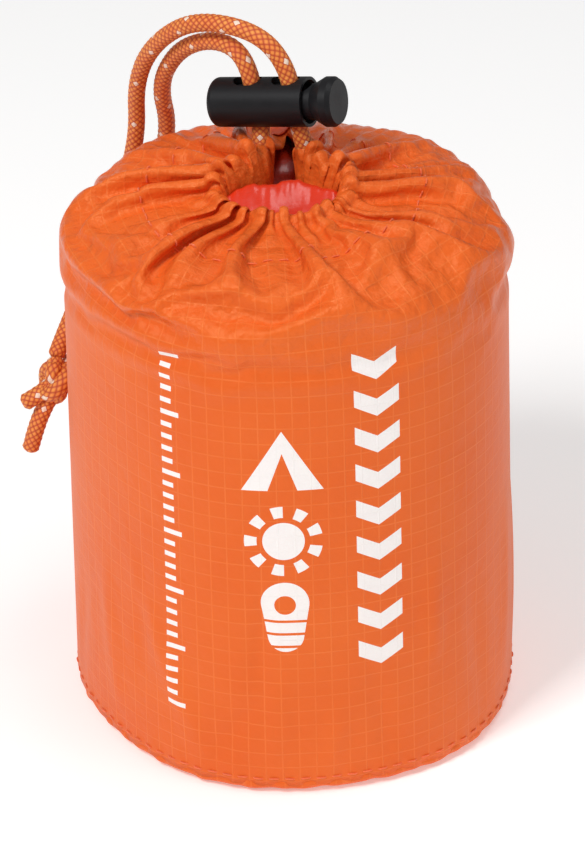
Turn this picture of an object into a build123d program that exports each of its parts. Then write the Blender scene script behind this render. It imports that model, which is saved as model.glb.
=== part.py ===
from build123d import *
import math
import os

os.makedirs("parts", exist_ok=True)

# An emergency bivvy packed in its drawstring stuff sack, standing on its base.
# Origin: centre of the base on the surface it stands on. +Z up, -Y is the printed front,
# +Y is the back, where the side seam, the cord's exit and its knot are. Millimetres.

# Sack
base_radius = 40.0
base_flat_radius = 36.0
base_seam_height = 2.0
shoulder_radius = 38.2
shoulder_height = 84.0
crown_radius = 29.5
crown_height = 96.8
cloth = 0.7
base_cloth = 0.8

# Gathered mouth: a turned hem that holds the drawcord
cord_ring_radius = 12.0
cord_ring_height = 101.3
hem_tube_radius = 2.7
hem_inner_radius = 25.0
hem_inner_height = 97.3
hem_gap_start = 38.0
hem_gap_end = 126.0
channel_stitch_radius = 24.2

# Drawcord
cord_diameter = 3.2
cord_radius = cord_diameter / 2

# Seams and thread
thread_radius = 0.2
thread_stand_off = 0.22
seam_tape = 0.4
side_seam_half_angle = 5.0
side_stitch_spacing = 5.2

# Packed bivvy
roll_radius = 36.2
roll_top = 91.0
roll_fillet = 7.0
fold_radius = 14.0
fold_top = 96.6
fold_fillet = 3.0

# Cord lock, measured along its barrel from the closed end
lock_end = Vector(-12.4, 15.2, 109.3)
lock_yaw = 24.0
lock_tilt = 10.0
barrel_length = 18.2
barrel_radius = 4.35
barrel_round = 1.1
bore_radius = 3.3
bore_mouth_radius = 3.8
bore_mouth_depth = 1.0
end_wall = 1.2
slot_width = 3.8
barrel_slot_length = 5.2
left_cord_at = 7.9
right_cord_at = 15.2
plunger_travel = 2.0
stem_radius = 3.15
stem_start = 4.8
stem_end = 19.4
head_radius = 4.35
head_start = 21.6
head_rim = 22.9
head_face = 23.7
spring_radius = 2.2
spring_wire_radius = 0.2
spring_turns = 3.5
stub_height = 3.8


# Directions of the lock: along its barrel, and up through its cord holes
yaw = math.radians(lock_yaw)
tilt = math.radians(lock_tilt)
along = Vector(math.cos(yaw) * math.cos(tilt), -math.sin(yaw) * math.cos(tilt), math.sin(tilt))
up = (Vector(0, 0, 1) - along * along.Z).normalized()
lock_section = Plane(origin=lock_end, x_dir=up, z_dir=up.cross(along))
lock_axis = Axis(lock_end, along)
left_cord = lock_end + along * left_cord_at
right_cord = lock_end + along * right_cord_at


def half_plane(angle):
    """The half plane through the Z axis at this angle: x is the radius, y is the height."""
    a = math.radians(angle)
    return Plane(origin=(0, 0, 0), x_dir=(math.cos(a), math.sin(a), 0), z_dir=(math.sin(a), -math.cos(a), 0))


def polar(radius, angle):
    a = math.radians(angle)
    return (radius * math.cos(a), radius * math.sin(a))


def on_cord(start, height):
    """Where a cord that runs straight through the lock crosses a level."""
    return start + up * ((height - start.Z) / up.Z)


def cord_path_radii(points):
    """Corner radii of a cord's route: 0.45 of the shorter run over tan(half the turn)."""
    runs = [Vector(*q) - Vector(*p) for p, q in zip(points, points[1:])]
    radii = []
    for before, after in zip(runs, runs[1:]):
        half_turn = math.radians(before.get_angle(after)) / 2
        radii.append(0.45 * min(before.length, after.length) / math.tan(half_turn))
    return radii


def report(name, radii, solid, length):
    expected = math.pi * cord_radius**2 * length
    shown = ", ".join(f"{r:.1f}" for r in radii)
    print(f"{name}: length {length:.1f}, radii {shown}, volume / section x length {solid.volume / expected:.4f}")


# ---------------------------------------------------------------- sack cloth
hem_centre = (cord_ring_radius, cord_ring_height)
crown_slope = math.degrees(math.atan2(cord_ring_height + hem_tube_radius - crown_height,
                                      crown_radius - cord_ring_radius))
hem_touch = 90.0 - crown_slope

with BuildPart() as sack_wall:
    with BuildSketch(half_plane(0)):
        with BuildLine():
            side = Line((base_radius, base_seam_height), (shoulder_radius, shoulder_height))
            shoulder = TangentArc(side @ 1, (crown_radius, crown_height), tangent=side % 1)
            rim = CenterArc(hem_centre, hem_tube_radius, hem_touch, 180 - hem_touch)
            Line(shoulder @ 1, rim @ 0)
            rim_end = Line(rim @ 1, rim @ 1 + Vector(cloth, 0))
            inner_rim = CenterArc(hem_centre, hem_tube_radius - cloth, hem_touch, 180 - hem_touch)
            inner_side = Line((base_radius - cloth, base_seam_height),
                              (shoulder_radius - cloth, shoulder_height))
            inner_shoulder = TangentArc(inner_side @ 1, (crown_radius - cloth / 2, crown_height - cloth),
                                        tangent=inner_side % 1)
            Line(inner_shoulder @ 1, inner_rim @ 0)
            Line(side @ 0, inner_side @ 0)
        make_face()
    revolve(axis=Axis.Z)
    # The mouth stays open at the back, where both ends of the drawcord come out of the hem
    with BuildSketch(Plane.XY.offset(cord_ring_height - 2 * hem_tube_radius)):
        with BuildLine():
            Polyline(polar(6, hem_gap_start), polar(15, hem_gap_start), (3.5, 20), (-4, 20),
                     polar(15, hem_gap_end), polar(6, hem_gap_end), close=True)
        make_face()
    extrude(amount=4 * hem_tube_radius, mode=Mode.SUBTRACT)
sack_wall.part.label = "sack_wall"
export_step(sack_wall.part, "parts/sack_wall.step")

with BuildPart() as drawcord_channel:
    with BuildSketch(half_plane(hem_gap_end)):
        with BuildLine():
            outer = CenterArc(hem_centre, hem_tube_radius, 180, 90)
            inner = CenterArc(hem_centre, hem_tube_radius - cloth, 180, 90)
            lower = Line(outer @ 1, (hem_inner_radius, hem_inner_height - cloth / 2))
            upper = Line(inner @ 1, (hem_inner_radius, hem_inner_height + cloth / 2))
            Line(outer @ 0, inner @ 0)
            Line(lower @ 1, upper @ 1)
        make_face()
    revolve(axis=Axis.Z, revolution_arc=360 - (hem_gap_end - hem_gap_start))
drawcord_channel.part.label = "drawcord_channel"
export_step(drawcord_channel.part, "parts/drawcord_channel.step")

with BuildPart() as sack_base:
    with BuildSketch(half_plane(0)):
        with BuildLine():
            floor_line = Line((0, 0), (base_flat_radius, 0))
            turn_up = TangentArc(floor_line @ 1, (base_radius, base_seam_height), tangent=(1, 0))
            edge = Line(turn_up @ 1, turn_up @ 1 - Vector(cloth, 0))
            inner_turn = TangentArc((base_flat_radius, base_cloth), edge @ 1, tangent=(1, 0))
            Line(inner_turn @ 0, (0, base_cloth))
            Line((0, base_cloth), (0, 0))
        make_face()
    revolve(axis=Axis.Z)
sack_base.part.label = "sack_base"
export_step(sack_base.part, "parts/sack_base.step")

# ---------------------------------------------------------------- seams and stitching
seam_tape_depth = 2.2
seam_tape_height = 1.4
seam_radius = base_radius - cloth - 0.12

with BuildPart() as base_seam:
    with BuildSketch(half_plane(0)):
        with Locations((seam_radius - seam_tape_depth / 2, base_seam_height + seam_tape_height / 2 + 0.1)):
            RectangleRounded(seam_tape_depth, seam_tape_height, 0.4)
    revolve(axis=Axis.Z)
base_seam.part.label = "base_seam"
export_step(base_seam.part, "parts/base_seam.step")

base_stitch_height = base_seam_height + seam_tape_height + 0.1 + thread_stand_off
with BuildPart() as base_stitching:
    with BuildSketch(half_plane(0)):
        with Locations((seam_radius - seam_tape_depth / 2, base_stitch_height)):
            Circle(thread_radius)
    revolve(axis=Axis.Z)
base_stitching.part.label = "base_stitching"
export_step(base_stitching.part, "parts/base_stitching.step")

crown_fall = math.tan(math.radians(crown_slope))
channel_stitch_height = crown_height + (crown_radius - channel_stitch_radius) * crown_fall
with BuildPart() as channel_stitching:
    with BuildSketch(half_plane(0)):
        with Locations((channel_stitch_radius, channel_stitch_height + 2 * thread_stand_off)):
            Circle(thread_radius)
    revolve(axis=Axis.Z)
channel_stitching.part.label = "channel_stitching"
export_step(channel_stitching.part, "parts/channel_stitching.step")

side_seam_bottom = 5.0
side_seam_top = shoulder_height - 1.0
taper = (base_radius - shoulder_radius) / (shoulder_height - base_seam_height)


def wall_radius(height):
    """Outer radius of the sack's straight side at a height."""
    return base_radius - taper * (height - base_seam_height)


with BuildPart() as side_seam:
    with BuildSketch(half_plane(90 - side_seam_half_angle)):
        with BuildLine():
            low = wall_radius(side_seam_bottom) - cloth - 0.05
            high = wall_radius(side_seam_top) - cloth - 0.05
            Polyline((low, side_seam_bottom), (high, side_seam_top), (high - seam_tape, side_seam_top),
                     (low - seam_tape, side_seam_bottom), close=True)
        make_face()
    revolve(axis=Axis.Z, revolution_arc=2 * side_seam_half_angle)
side_seam.part.label = "side_seam"
export_step(side_seam.part, "parts/side_seam.step")

with BuildPart() as side_stitching:
    for side_x in (-side_stitch_spacing / 2, side_stitch_spacing / 2):
        low_y = math.sqrt(wall_radius(side_seam_bottom) ** 2 - side_x**2) + thread_stand_off
        high_y = math.sqrt(wall_radius(side_seam_top) ** 2 - side_x**2) + thread_stand_off
        low_end = Vector(side_x, low_y, side_seam_bottom)
        high_end = Vector(side_x, high_y, side_seam_top)
        with BuildSketch(Plane(origin=low_end, z_dir=high_end - low_end)):
            Circle(thread_radius)
        extrude(amount=(high_end - low_end).length)
side_stitching.part.label = "side_stitching"
export_step(side_stitching.part, "parts/side_stitching.step")

# ---------------------------------------------------------------- packed bivvy
with BuildPart() as bivvy_roll:
    with BuildSketch(Plane.XY.offset(base_cloth + 0.1)):
        Circle(roll_radius)
    extrude(amount=roll_top - base_cloth - 0.1)
    fillet(bivvy_roll.edges().group_by(Axis.Z)[-1], roll_fillet)
    with BuildSketch(Plane.XY.offset(roll_top - 1)):
        Circle(fold_radius)
    extrude(amount=fold_top - roll_top + 1)
    fillet(bivvy_roll.edges().group_by(Axis.Z)[-1], fold_fillet)
bivvy_roll.part.label = "bivvy_roll"
export_step(bivvy_roll.part, "parts/bivvy_roll.step")

# ---------------------------------------------------------------- cord lock
barrel_slot_shift = -0.8
plunger_slot_shift = plunger_travel / 2
plunger_slot_length = slot_width + plunger_travel


def across_lock(distance):
    """A plane that faces up out of the lock's cord holes, this far along its barrel."""
    return Plane(origin=lock_end + along * distance, x_dir=along, z_dir=up)


with BuildPart() as lock_barrel:
    with BuildSketch(lock_section):
        with BuildLine():
            Polyline((0, 0), (barrel_radius, 0), (barrel_radius, barrel_length), (bore_mouth_radius, barrel_length),
                     (bore_radius, barrel_length - bore_mouth_depth), (bore_radius, end_wall), (0, end_wall),
                     close=True)
        make_face()
    revolve(axis=lock_axis)
    fillet(lock_barrel.faces().sort_by(lock_axis)[0].edges(), barrel_round)
    for cord_at in (left_cord_at, right_cord_at):
        with BuildSketch(across_lock(cord_at + barrel_slot_shift)):
            SlotOverall(barrel_slot_length, slot_width)
        extrude(amount=2 * barrel_radius, both=True, mode=Mode.SUBTRACT)
lock_barrel.part.label = "lock_barrel"
export_step(lock_barrel.part, "parts/lock_barrel.step")

with BuildPart() as lock_plunger:
    with BuildSketch(lock_section):
        with BuildLine():
            Polyline((0, head_face), (0, stem_start), (stem_radius, stem_start), (stem_radius, stem_end),
                     (head_radius, head_start), (head_radius, head_rim), (head_radius - 0.5, head_face),
                     close=True)
        make_face()
    revolve(axis=lock_axis)
    for cord_at in (left_cord_at, right_cord_at):
        with BuildSketch(across_lock(cord_at + plunger_slot_shift)):
            SlotOverall(plunger_slot_length, slot_width)
        extrude(amount=2 * barrel_radius, both=True, mode=Mode.SUBTRACT)
lock_plunger.part.label = "lock_plunger"
export_step(lock_plunger.part, "parts/lock_plunger.step")

spring_start = end_wall + spring_wire_radius
spring_height = stem_start - spring_wire_radius - spring_start
with BuildPart() as lock_spring:
    with BuildLine():
        coil = Helix(pitch=spring_height / spring_turns, height=spring_height, radius=spring_radius,
                     center=lock_end + along * spring_start, direction=along)
    with BuildSketch(Plane(origin=coil @ 0, z_dir=coil % 0)):
        Circle(spring_wire_radius)
    sweep(path=coil, is_frenet=True)
lock_spring.part.label = "lock_spring"
export_step(lock_spring.part, "parts/lock_spring.step")

# ---------------------------------------------------------------- drawcord
left_exit = left_cord + up * stub_height
right_exit = right_cord + up * stub_height
left_foot = on_cord(left_cord, cord_ring_height)
right_foot = on_cord(right_cord, cord_ring_height)
ring_corner_radius = 13.0
ring_angles = [148, 192, 236, 280, 324, 8, 44]
ring_points = [(*polar(ring_corner_radius, a), cord_ring_height) for a in ring_angles]

# Each strand leaves the lock, arches to the left, and falls behind the sack to the knot
left_lead = left_exit + up * 2.8
right_lead = right_exit + up * 3.2
left_tail_route = [
    tuple(left_exit), tuple(left_lead), (-9.2, 15.2, 120.2), (-14.2, 19.8, 119.2),
    (-19.4, 25.6, 114.2), (-22.8, 31.0, 105.4), (-21.4, 35.8, 94.6), (-24.2, 37.2, 84.0),
    (-30.0, 34.8, 74.0), (-35.6, 27.8, 65.0), (-39.8, 16.8, 57.8)]
right_tail_route = [
    tuple(right_exit), tuple(right_lead), (-5.0, 11.4, 124.4), (-15.5, 17.6, 124.1),
    (-23.0, 25.4, 116.4), (-27.0, 31.0, 106.5), (-27.2, 34.0, 93.5), (-30.8, 33.6, 82.0),
    (-35.6, 29.0, 71.6), (-40.4, 21.0, 63.6), (-43.1, 14.0, 59.4)]
loop_route = [tuple(left_exit), tuple(left_foot), *ring_points, tuple(right_foot), tuple(right_exit)]


def cord_tube(name, route):
    """A plain tube along a cord's route, and its check against section times length."""
    radii = cord_path_radii(route)
    with BuildPart() as tube:
        with BuildLine():
            path = FilletPolyline(*route, radius=radii)
        with BuildSketch(Plane(origin=path @ 0, z_dir=path % 0)):
            Circle(cord_radius)
        sweep(path=path)
    tube.part.label = name
    report(name, radii, tube.part, path.length)
    export_step(tube.part, f"parts/{name}.step")


cord_tube("drawcord_loop", loop_route)
cord_tube("drawcord_tail_left", left_tail_route)
cord_tube("drawcord_tail_right", right_tail_route)

# The two strands are tied together in one overhand knot, which leaves two short free ends
knot_centre = Vector(-42.5, 12.9, 55.4)
knot_axis = Vector(2.0, 4.8, 6.8)
knot_radius = 4.4
knot_half_length = 6.0
free_ends = [Vector(-49.3, 10.2, 51.9), Vector(-48.6, 10.4, 41.8)]

with BuildPart() as drawcord_knot:
    with BuildSketch(Plane(origin=knot_centre, x_dir=knot_axis, z_dir=knot_axis.cross(Vector(0, 0, 1)))):
        with BuildLine():
            knot_shoulder = knot_half_length - knot_radius
            front_end = CenterArc((knot_shoulder, 0), knot_radius, 0, 90)
            back_end = CenterArc((-knot_shoulder, 0), knot_radius, 90, 90)
            Line(front_end @ 1, back_end @ 0)
            Line(back_end @ 1, front_end @ 0)
        make_face()
    revolve(axis=Axis(knot_centre, knot_axis))
    for free_end in free_ends:
        with BuildSketch(Plane(origin=knot_centre, z_dir=free_end - knot_centre)):
            Circle(cord_radius)
        extrude(amount=(free_end - knot_centre).length)
drawcord_knot.part.label = "drawcord_knot"
export_step(drawcord_knot.part, "parts/drawcord_knot.step")
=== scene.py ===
import math
import random

import bmesh
import bpy
import numpy as np
from mathutils import Matrix, Vector


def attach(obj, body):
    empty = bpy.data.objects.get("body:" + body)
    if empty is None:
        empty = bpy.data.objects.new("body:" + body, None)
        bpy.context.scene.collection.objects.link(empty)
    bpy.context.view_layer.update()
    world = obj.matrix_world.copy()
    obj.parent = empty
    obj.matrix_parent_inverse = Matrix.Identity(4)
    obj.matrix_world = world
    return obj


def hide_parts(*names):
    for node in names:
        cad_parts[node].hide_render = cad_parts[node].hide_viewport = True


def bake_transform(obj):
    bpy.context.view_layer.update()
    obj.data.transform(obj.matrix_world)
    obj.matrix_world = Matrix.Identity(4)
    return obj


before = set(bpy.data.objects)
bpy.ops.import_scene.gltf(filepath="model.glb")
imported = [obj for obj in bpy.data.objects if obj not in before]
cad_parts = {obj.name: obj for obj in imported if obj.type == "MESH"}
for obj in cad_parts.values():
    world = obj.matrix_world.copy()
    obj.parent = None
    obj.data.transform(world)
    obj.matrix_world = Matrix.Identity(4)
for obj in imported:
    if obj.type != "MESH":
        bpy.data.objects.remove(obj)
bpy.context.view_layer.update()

MM = 0.001
TURN = 2 * math.pi

# ------------------------------ sizes, in millimetres
BASE_RADIUS = 40.0
TAPER = 0.022
SEAM_HEIGHT = 2.0
CLOTH_TOP = 124.0
CLOTH_THICKNESS = 0.16
CLOTH_CLEARANCE = 0.6
CIRCUMFERENCE = TURN * (BASE_RADIUS + 0.2)
COLUMNS = 180
HEM_DEPTH = 12.0
CORD_DIAMETER = 3.2
OWN_UV = "own_uv"
BRAID_STRANDS = 8
BRAID_PITCH = 1.25
RIPSTOP_GRID = 3.0
WEAVE_PITCH = 0.24

# The cloth is more crinkled and glossier above this height, and fully so after this fade
GATHER_START = 80.0
GATHER_FADE = 16.0

# The printed areas, in the cloth's own millimetres round it and up it
PRINT_LOW = 26.0
CHEVRONS_ACROSS = 141.0
CHEVRON_PITCH = 7.1
SIGNS_ACROSS = 124.0
TENT_LOW = 63.0
SUN_HEIGHT = 53.0
SUN_RAYS = 9.0
BAG_HEIGHT = 36.5
TICKS_ACROSS = 103.6
TICK_PITCH = 2.35

# The cord lock, as in the CAD model: its closed end, its barrel and its cord holes
LOCK_END = Vector((-12.4, 15.2, 109.3))
LOCK_YAW = math.radians(24.0)
LOCK_TILT = math.radians(10.0)
ALONG = Vector((math.cos(LOCK_YAW) * math.cos(LOCK_TILT),
                -math.sin(LOCK_YAW) * math.cos(LOCK_TILT),
                math.sin(LOCK_TILT)))
UP = (Vector((0, 0, 1)) - ALONG * ALONG.z).normalized()
LOCK_MIDDLE = 12
LEFT_CORD = LOCK_END + ALONG * 7.9
RIGHT_CORD = LOCK_END + ALONG * 15.2

# The spring behind the lock's button: where it starts and ends along the lock, and its wire
SPRING_START = 1.2
SPRING_END = 4.8
SPRING_TURNS = 3.5
SPRING_RADIUS = 2.2
SPRING_WIRE = 0.4

# Where the two strands leave the lock, and their routes from inside it to the knot, in metres
LEFT_EXIT = (-0.00595, 0.01231, 0.1144)
RIGHT_EXIT = (0.00061, 0.00938, 0.11567)
LEFT_ROUTE = [
    (-0.00575, 0.01222, 0.1131), (-0.00639, 0.01251, 0.11716), (-0.0092, 0.0152, 0.1202),
    (-0.0142, 0.0198, 0.1192), (-0.0194, 0.0256, 0.1142), (-0.0228, 0.0310, 0.1054),
    (-0.0214, 0.0358, 0.0946), (-0.0242, 0.0372, 0.0840), (-0.0300, 0.0348, 0.0740),
    (-0.0356, 0.0278, 0.0650), (-0.0398, 0.0168, 0.0578)]
RIGHT_ROUTE = [
    (0.00080, 0.00929, 0.1144), (0.00010, 0.00961, 0.11882), (-0.0050, 0.0114, 0.1244),
    (-0.0155, 0.0176, 0.1241), (-0.0230, 0.0254, 0.1164), (-0.0270, 0.0310, 0.1065),
    (-0.0272, 0.0340, 0.0935), (-0.0308, 0.0336, 0.0820), (-0.0356, 0.0290, 0.0716),
    (-0.0404, 0.0210, 0.0636), (-0.0431, 0.0140, 0.0594)]


# ------------------------------ small helpers
def link(obj):
    bpy.context.scene.collection.objects.link(obj)
    return obj


def new_mesh(name, verts, faces, smooth=True):
    """A mesh object from points in metres."""
    mesh = bpy.data.meshes.new(name)
    mesh.from_pydata([tuple(v) for v in verts], [], faces)
    mesh.update()
    mesh.polygons.foreach_set("use_smooth", [smooth] * len(mesh.polygons))
    return link(bpy.data.objects.new(name, mesh))


def paint(obj, material):
    obj.data.materials.clear()
    obj.data.materials.append(material)
    return obj


def settle(obj, material, slot, *nodes):
    """Paints a piece, hides the CAD nodes that it stands in for, and lets it ride on the sack. Its slot
    is not used.
    """
    paint(obj, material)
    if nodes:
        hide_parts(*nodes)
    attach(obj, "sack")
    return obj


# ------------------------------ materials
class Nodes:
    """A short way to write a node material."""

    def __init__(self, name):
        self.material = bpy.data.materials.new(name)
        self.material.use_nodes = True
        self.tree = self.material.node_tree
        self.shader = self.tree.nodes["Principled BSDF"]

    def add(self, kind, **inputs):
        node = self.tree.nodes.new(kind)
        for name, value in inputs.items():
            self.put(node.inputs[name.replace("_", " ")], value)
        return node

    def put(self, socket, value):
        if isinstance(value, bpy.types.NodeSocket):
            self.tree.links.new(value, socket)
        else:
            socket.default_value = value

    def math(self, operation, *values):
        node = self.tree.nodes.new("ShaderNodeMath")
        node.operation = operation
        for socket, value in zip(node.inputs, values):
            self.put(socket, value)
        return node.outputs[0]

    def squares(self, x, y):
        """x squared plus y squared."""
        return self.math("ADD", self.math("MULTIPLY", x, x), self.math("MULTIPLY", y, y))

    def uv(self):
        """The UV pair, and its two numbers apart."""
        node = self.tree.nodes.new("ShaderNodeUVMap")
        node.uv_map = OWN_UV
        split = self.add("ShaderNodeSeparateXYZ", Vector=node.outputs[0])
        return node.outputs[0], split.outputs[0], split.outputs[1]

    def position(self):
        return self.tree.nodes.new("ShaderNodeTexCoord").outputs["Object"]

    def noise(self, vector, scale, detail):
        node = self.add("ShaderNodeTexNoise", Vector=vector, Scale=scale, Detail=detail)
        return node.outputs["Fac"]

    def mix(self, factor, a, b):
        node = self.tree.nodes.new("ShaderNodeMix")
        node.data_type = "RGBA"
        self.put(node.inputs[0], factor)
        self.put(node.inputs[6], a)
        self.put(node.inputs[7], b)
        return node.outputs[2]

    def bump(self, height, strength, distance, normal=None):
        node = self.add("ShaderNodeBump", Height=height, Strength=strength, Distance=distance)
        if normal is not None:
            self.put(node.inputs["Normal"], normal)
        return node.outputs[0]

    def finish(self, **inputs):
        for name, value in inputs.items():
            self.put(self.shader.inputs[name.replace("_", " ")], value)
        return self.material


def inside_box(n, x, y, half_width, low, high):
    """1 where x and y lie in a box that is centred across."""
    wide = n.math("LESS_THAN", n.math("ABSOLUTE", x), half_width)
    above = n.math("GREATER_THAN", y, low)
    below = n.math("LESS_THAN", y, high)
    return n.math("MULTIPLY", wide, n.math("MULTIPLY", above, below))


def triangle(n, x, y, half_width, low, high):
    """1 in a triangle that stands on its base."""
    slope = half_width / (high - low)
    room = n.math("MULTIPLY", n.math("SUBTRACT", high, y), slope)
    inside = n.math("LESS_THAN", n.math("ABSOLUTE", x), room)
    return n.math("MULTIPLY", inside, n.math("GREATER_THAN", y, low))


def without(n, shape, hole):
    return n.math("MULTIPLY", shape, n.math("SUBTRACT", 1.0, hole))


def screen_print(n, across, up):
    """1 on the plain marks that are printed on the sack, 0 elsewhere."""
    # Nine chevrons up the right
    x = n.math("SUBTRACT", across, CHEVRONS_ACROSS)
    drop = n.math("MULTIPLY", n.math("ABSOLUTE", x), 0.55)
    y = n.math("SUBTRACT", n.math("SUBTRACT", up, PRINT_LOW), drop)
    stroke = n.math("LESS_THAN", n.math("FRACT", n.math("DIVIDE", y, CHEVRON_PITCH)), 0.46)
    chevrons = n.math("MULTIPLY", stroke, inside_box(n, x, y, 4.1, 0.0, 8.5 * CHEVRON_PITCH))

    # Signs up the middle: a tent, a sun and a sleeping bag
    x = n.math("SUBTRACT", across, SIGNS_ACROSS)
    tent = without(n, triangle(n, x, up, 7.2, TENT_LOW, TENT_LOW + 11.5),
                   triangle(n, x, up, 2.6, TENT_LOW, TENT_LOW + 7.2))
    y = n.math("SUBTRACT", up, SUN_HEIGHT)
    distance = n.math("SQRT", n.squares(x, y))
    turn = n.math("DIVIDE", n.math("MULTIPLY", n.math("ARCTAN2", y, x), SUN_RAYS), TURN)
    place = n.math("FRACT", n.math("ADD", turn, SUN_RAYS))
    ray = n.math("LESS_THAN", n.math("ABSOLUTE", n.math("SUBTRACT", place, 0.5)), 0.24)
    reach = n.math("MULTIPLY", n.math("GREATER_THAN", distance, 4.7),
                   n.math("LESS_THAN", distance, 6.9))
    sun = n.math("MAXIMUM", n.math("LESS_THAN", distance, 3.7), n.math("MULTIPLY", ray, reach))
    y = n.math("SUBTRACT", up, BAG_HEIGHT)
    spare = n.math("MAXIMUM", n.math("SUBTRACT", n.math("ABSOLUTE", y), 3.2), 0.0)
    taper = n.math("MULTIPLY_ADD", y, 0.16, 3.7)
    wide = n.math("SQRT", n.squares(x, spare))
    face = n.math("LESS_THAN", n.squares(x, n.math("SUBTRACT", y, 3.6)), 3.6)
    quilting = n.math("MULTIPLY", n.math("LESS_THAN", n.math("FRACT", n.math("DIVIDE", y, 2.6)), 0.2),
                      n.math("LESS_THAN", y, 1.0))
    bag = without(n, n.math("LESS_THAN", wide, taper), n.math("MAXIMUM", face, quilting))
    signs = n.math("MAXIMUM", tent, n.math("MAXIMUM", sun, bag))

    # A scale of ticks up the left, every fifth one longer
    x = n.math("SUBTRACT", across, TICKS_ACROSS)
    y = n.math("SUBTRACT", up, PRINT_LOW - 10)
    tick = n.math("LESS_THAN", n.math("FRACT", n.math("DIVIDE", y, TICK_PITCH)), 0.4)
    fifth = n.math("LESS_THAN", n.math("FRACT", n.math("DIVIDE", y, 5 * TICK_PITCH)), 0.2)
    reach = n.math("MULTIPLY_ADD", fifth, 1.5, 2.3)
    right = n.math("ADD", x, 1.9)
    ticks = n.math("MULTIPLY", n.math("MULTIPLY", tick, n.math("GREATER_THAN", right, 0.0)),
                   n.math("MULTIPLY", n.math("LESS_THAN", right, reach),
                          inside_box(n, x, y, 4.0, 0.0, 31 * TICK_PITCH)))
    return n.math("MAXIMUM", chevrons, n.math("MAXIMUM", signs, ticks))


def ripstop_material():
    """Orange ripstop nylon. Its UVs are the cloth's own millimetres, so the grid follows each fold."""
    n = Nodes("ripstop_nylon")
    cloth_place, across, up = n.uv()
    lines = None
    for axis in (across, up):
        place = n.math("FRACT", n.math("DIVIDE", axis, RIPSTOP_GRID))
        edge = n.math("ABSOLUTE", n.math("SUBTRACT", place, 0.5))
        near = n.math("MULTIPLY", n.math("MAXIMUM", n.math("SUBTRACT", edge, 0.44), 0.0), 25.0)
        line = n.math("MINIMUM", near, 1.0)
        lines = line if lines is None else n.math("MAXIMUM", lines, line)
    weave = n.math("MULTIPLY", n.math("SINE", n.math("MULTIPLY", across, TURN / WEAVE_PITCH)),
                   n.math("SINE", n.math("MULTIPLY", up, TURN / WEAVE_PITCH)))
    position = n.position()
    blotches = n.noise(position, 45.0, 4.0)
    crinkle = n.noise(position, 300.0, 4.0)
    wear = n.math("MULTIPLY", n.noise(cloth_place, 0.12, 3.0), 0.55)
    worn_lines = n.math("MULTIPLY", lines, wear)
    base = n.mix(blotches, (0.78, 0.104, 0.013, 1), (0.86, 0.160, 0.026, 1))
    base = n.mix(worn_lines, base, (0.95, 0.25, 0.065, 1))
    ink = screen_print(n, across, up)
    speck = n.noise(cloth_place, 3.0, 2.0)
    cover = n.math("MULTIPLY", ink, n.math("MULTIPLY_ADD", speck, 0.1, 0.9))
    colour = n.mix(cover, base, (0.97, 0.96, 0.95, 1))
    relief = n.math("MULTIPLY_ADD", weave, 0.25, lines)
    past_wall = n.math("DIVIDE", n.math("SUBTRACT", up, GATHER_START), GATHER_FADE)
    gathered = n.math("MINIMUM", n.math("MAXIMUM", past_wall, 0.0), 1.0)
    planes = n.noise(position, 130.0, 3.0)
    normal = n.bump(planes, n.math("MULTIPLY_ADD", gathered, 0.55, 0.05), 0.003)
    normal = n.bump(crinkle, n.math("MULTIPLY_ADD", gathered, 0.55, 0.25), 0.0011, normal)
    normal = n.bump(relief, 0.45, 0.00008, normal)
    rough = n.math("MULTIPLY_ADD", blotches, 0.10, n.math("MULTIPLY_ADD", ink, 0.10, 0.40))
    rough = n.math("SUBTRACT", rough, n.math("MULTIPLY", gathered, 0.16))
    return n.finish(Base_Color=colour, Roughness=rough, Normal=normal, Specular_IOR_Level=0.45,
                    Specular_Tint=(1.0, 0.68, 0.36, 1))


def cord_material():
    """Braided cord. Its UVs count turns round the cord and strand pitches along it. Its strands carry
    painted golden highlight in random patches, and painted shade darkens the grooves between them.
    """
    n = Nodes("drawcord_braid")
    _, turn, pitch = n.uv()
    around = n.math("MULTIPLY", turn, float(BRAID_STRANDS))
    first = n.math("ADD", around, pitch)
    second = n.math("SUBTRACT", around, pitch)
    first_strand = n.math("FLOOR", first)
    second_strand = n.math("FLOOR", second)
    parity = n.math("FLOORED_MODULO", n.math("ADD", first_strand, second_strand), 2.0)
    tracer = n.math("LESS_THAN", n.math("FLOORED_MODULO", first_strand, float(BRAID_STRANDS)), 0.5)
    spaced = n.math("LESS_THAN", n.math("FLOORED_MODULO", second_strand, 4.0), 0.5)
    fleck = n.math("MULTIPLY", tracer, spaced)
    crown = n.math("ABSOLUTE", n.math("MULTIPLY", n.math("SINE", n.math("MULTIPLY", first, math.pi)),
                                      n.math("SINE", n.math("MULTIPLY", second, math.pi))))
    crown = n.math("POWER", crown, 0.8)
    leaning = n.math("ADD", n.math("MULTIPLY", first, parity),
                     n.math("MULTIPLY", second, n.math("SUBTRACT", 1.0, parity)))
    fibre = n.math("SINE", n.math("MULTIPLY", leaning, 38.0))
    position = n.position()
    # Painted highlight: random patches of the strands are painted golden, for the light they catch
    painted_highlight_patches = n.noise(position, 420.0, 3.0)
    strand = n.mix(painted_highlight_patches, (0.92, 0.19, 0.024, 1), (1.0, 0.46, 0.085, 1))
    # Painted shade: the grooves between the strands, where crown falls to 0, are painted dark
    base = n.mix(crown, (0.48, 0.034, 0.007, 1), strand)
    colour = n.mix(fleck, base, (0.93, 0.74, 0.60, 1))
    normal = n.bump(fibre, 0.35, 0.00004)
    return n.finish(Base_Color=colour, Roughness=0.55, Normal=normal, Sheen_Weight=0.2,
                    Sheen_Roughness=0.5, Sheen_Tint=(1.0, 0.6, 0.35, 1))


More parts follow.
